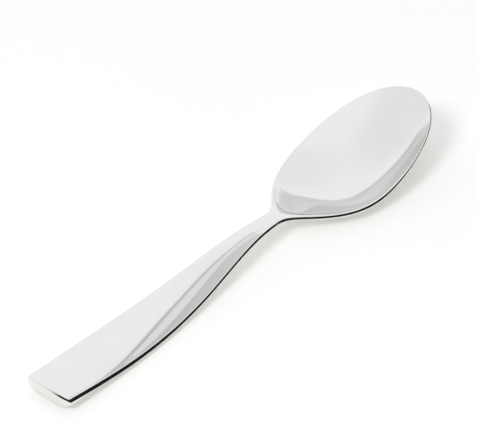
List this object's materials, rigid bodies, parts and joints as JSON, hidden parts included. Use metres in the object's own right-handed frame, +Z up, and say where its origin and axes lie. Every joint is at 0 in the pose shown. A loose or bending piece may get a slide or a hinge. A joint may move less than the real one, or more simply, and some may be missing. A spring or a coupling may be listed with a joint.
{
  "type": "tablespoon",
  "caption": "Polished stainless steel tablespoon with a long oval bowl, a slim neck and a flat handle that widens to a thick square-cut end.",
  "frame": {"origin": "centre of the bounding box in plan, on the table that the spoon lies on", "axes": "+X along the spoon from the handle end to the tip of the bowl, +Y across it, +Z up out of the bowl"},
  "size_m": [0.201, 0.0438, 0.0201],
  "materials": {
    "polished_steel": "mirror polished stainless steel"
  },
  "bodies": {
    "root": {"bowl": "polished_steel", "neck": "polished_steel", "handle": "polished_steel"}
  },
  "joints": []
}
